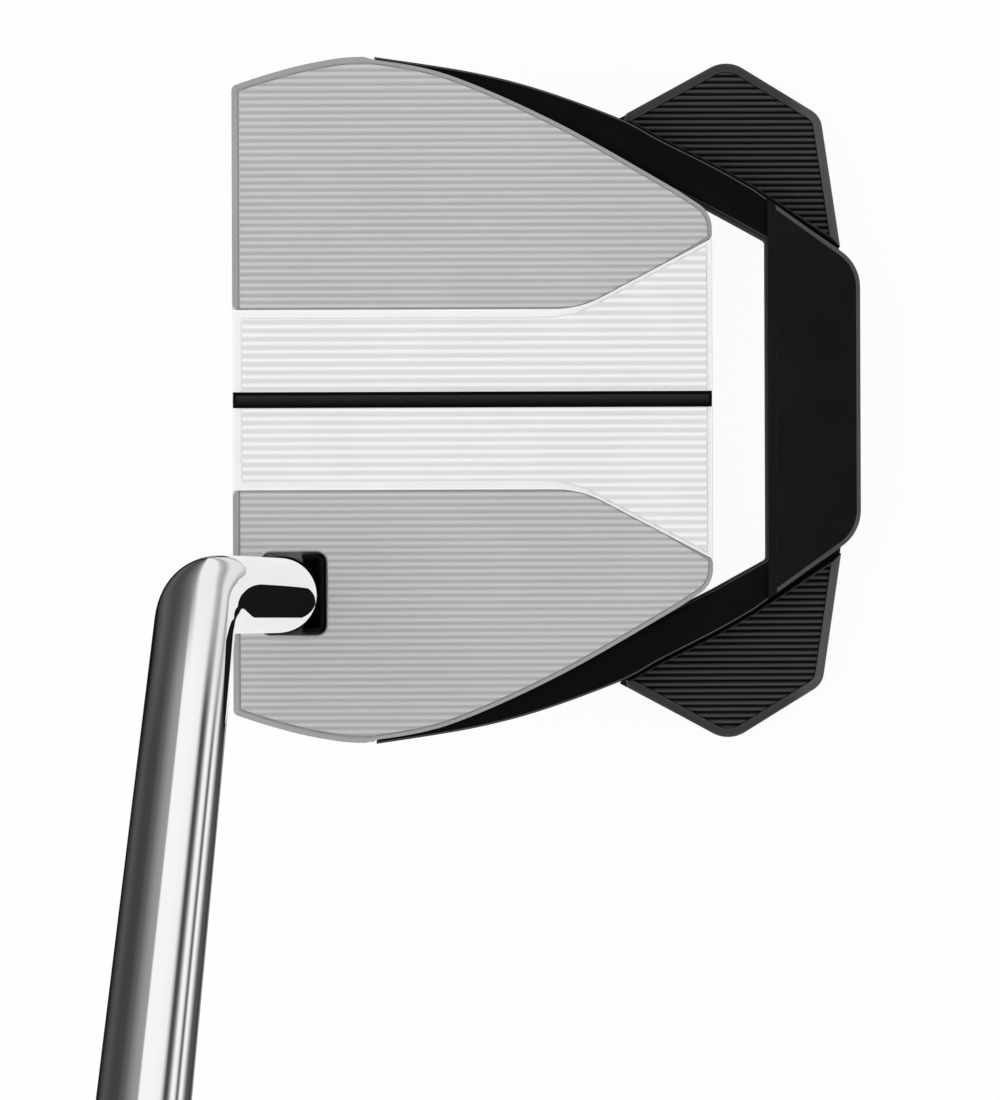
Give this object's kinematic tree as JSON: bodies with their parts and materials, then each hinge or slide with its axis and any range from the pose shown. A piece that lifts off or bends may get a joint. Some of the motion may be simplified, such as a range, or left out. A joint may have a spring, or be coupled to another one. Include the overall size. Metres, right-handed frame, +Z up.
{
  "type": "mallet putter",
  "caption": "Right-handed golf putter with a grooved grey and white mallet head, a black rear ring with corner wings, an offset chrome shaft and a rubber grip.",
  "frame": {"origin": "on the sole plane, on the sole plate, under the middle of the crown", "axes": "+X from the face to the rear of the head, +Y to the toe, +Z up; the shaft rises to +Z and leans to -Y"},
  "size_m": [0.1016, 0.3589, 0.8204],
  "materials": {
    "grey_anodised": "satin",
    "black_anodised": "satin",
    "black_steel": "satin",
    "white_polymer": "satin",
    "black_line": "satin",
    "sole_steel": "satin",
    "fastener_steel": "satin",
    "insert_polymer": "matte",
    "foam_pad": "matte",
    "socket_black": "satin",
    "shaft_chrome": "polished",
    "grip_rubber": "matte",
    "grip_tape": "matte"
  },
  "bodies": {
    "root": {"front_body": "grey_anodised", "crown_toe_plate": "grey_anodised", "crown_heel_plate": "grey_anodised", "alignment_channel": "white_polymer", "sight_line": "black_line", "rear_ring": "black_anodised", "toe_wing": "black_steel", "heel_wing": "black_steel", "sole_plate": "sole_steel", "face_insert": "insert_polymer", "insert_pad": "foam_pad", "damping_core": "foam_pad", "socket_liner": "socket_black", "shaft": "shaft_chrome", "grip_sleeve": "grip_rubber", "grip_end_cap": "grip_rubber", "grip_underlisting": "foam_pad", "grip_tape": "grip_tape", "toe_weight": "fastener_steel", "heel_weight": "fastener_steel", "sole_screw_toe_1": "fastener_steel", "sole_screw_toe_2": "fastener_steel", "sole_screw_heel_1": "fastener_steel", "sole_screw_heel_2": "fastener_steel", "ring_screw_toe_1": "fastener_steel", "ring_screw_toe_2": "fastener_steel", "ring_screw_heel_1": "fastener_steel", "ring_screw_heel_2": "fastener_steel", "wing_screw_toe_1": "fastener_steel", "wing_screw_toe_2": "fastener_steel", "wing_screw_heel_1": "fastener_steel", "wing_screw_heel_2": "fastener_steel"}
  },
  "joints": []
}
